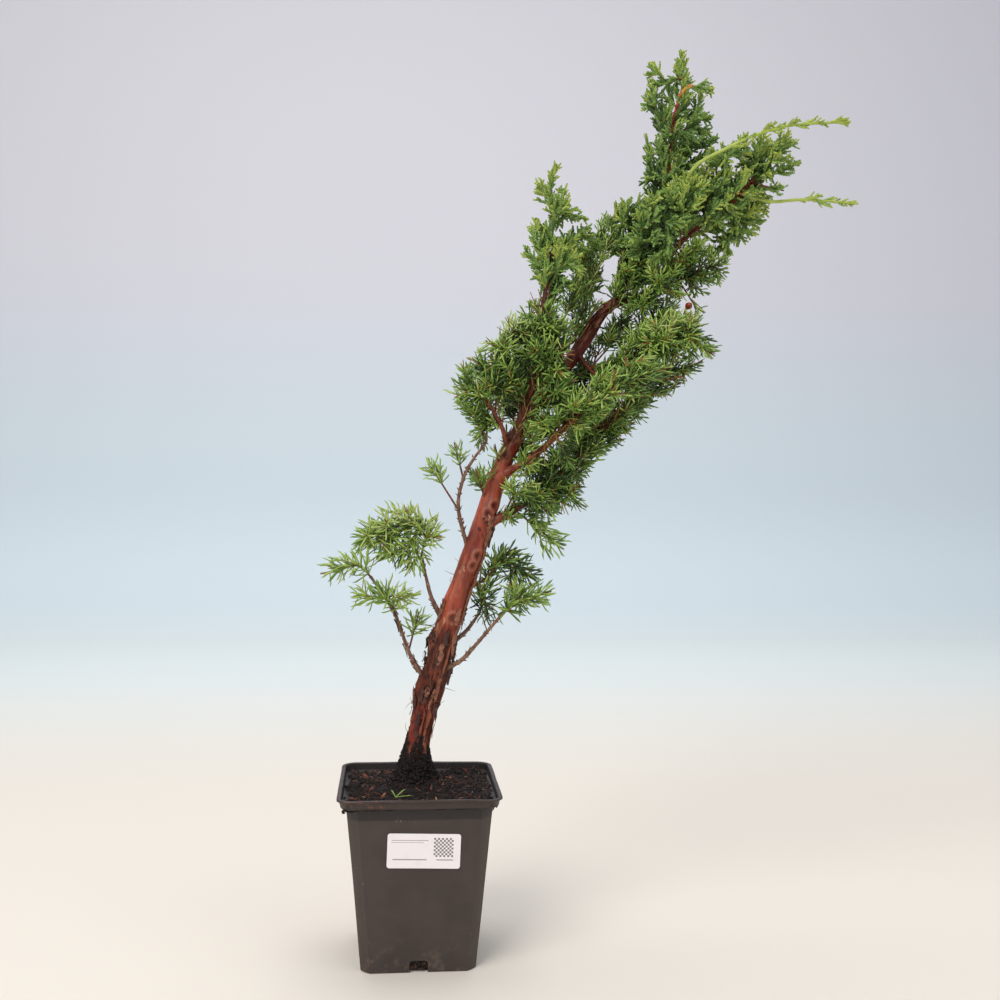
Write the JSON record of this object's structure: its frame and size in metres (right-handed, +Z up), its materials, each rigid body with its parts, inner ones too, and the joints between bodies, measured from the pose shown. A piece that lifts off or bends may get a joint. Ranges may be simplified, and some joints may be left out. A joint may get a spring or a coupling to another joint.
{
  "type": "potted juniper bonsai tree",
  "caption": "Slanting juniper bonsai: tapering red-brown trunk, boughs and clumps of needle and scale foliage, standing in soil in a square plastic nursery pot with a blank label",
  "frame": {"origin": "centre of the pot's flat underside", "axes": "+Z up; the pot's labelled side faces -Y; the tree leans towards +X"},
  "size_m": [0.3702, 0.1214, 0.6311],
  "materials": {
    "pot": "matte",
    "soil": "damp peat and bark crumbs",
    "label": "satin",
    "bark": "peeling bark",
    "needles": "leafy",
    "scales": "leafy"
  },
  "bodies": {
    "root": {"pot": "pot", "soil": "soil", "label": "label", "trunk": "bark", "left_leader": "bark", "left_mid_bough": "bark", "left_tall_twig": "bark", "spire_bough": "bark", "shelf_bough": "bark", "right_front_bough": "bark", "right_back_bough": "bark", "low_left_bough": "bark", "low_left_inner_bough": "bark", "low_right_bough": "bark", "low_right_inner_bough": "bark", "low_right_top_bough": "bark", "foliage_low_left_top": "needles", "foliage_low_left_outer": "needles", "foliage_low_left_under": "needles", "foliage_low_left_sprig": "needles", "foliage_low_right_outer": "needles", "foliage_low_right_inner": "needles", "foliage_low_right_top": "needles", "foliage_sprig_left": "needles", "foliage_sprig_mid": "needles", "foliage_tall_twig_tuft": "needles", "foliage_left_mid_low": "needles", "foliage_left_mid_top": "needles", "foliage_left_mid_back": "needles", "foliage_side_sprig": "needles", "foliage_leader_low": "needles", "foliage_leader_mid": "scales", "foliage_leader_top": "scales", "foliage_spur_mass": "needles", "foliage_spire_low": "scales", "foliage_spire_low_right": "scales", "foliage_spire_mid": "scales", "foliage_spire_mid_right": "scales", "foliage_spire_top": "scales", "foliage_crown_left": "scales", "foliage_crown_centre": "scales", "foliage_crown_low": "needles", "foliage_crown_back": "needles", "foliage_end_low": "needles", "foliage_end_mid": "scales", "foliage_end_right": "scales", "foliage_end_tip": "scales", "foliage_long_shoot_top": "scales", "foliage_long_shoot_right": "scales", "foliage_shelf_inner": "needles", "foliage_shelf_outer": "needles", "foliage_right_front": "needles", "foliage_right_back": "needles", "foliage_right_under": "needles", "foliage_centre_under": "needles", "foliage_lower_tuft": "needles", "foliage_lower_right": "needles", "foliage_drooping_tuft": "needles", "foliage_throat": "needles"}
  },
  "joints": []
}
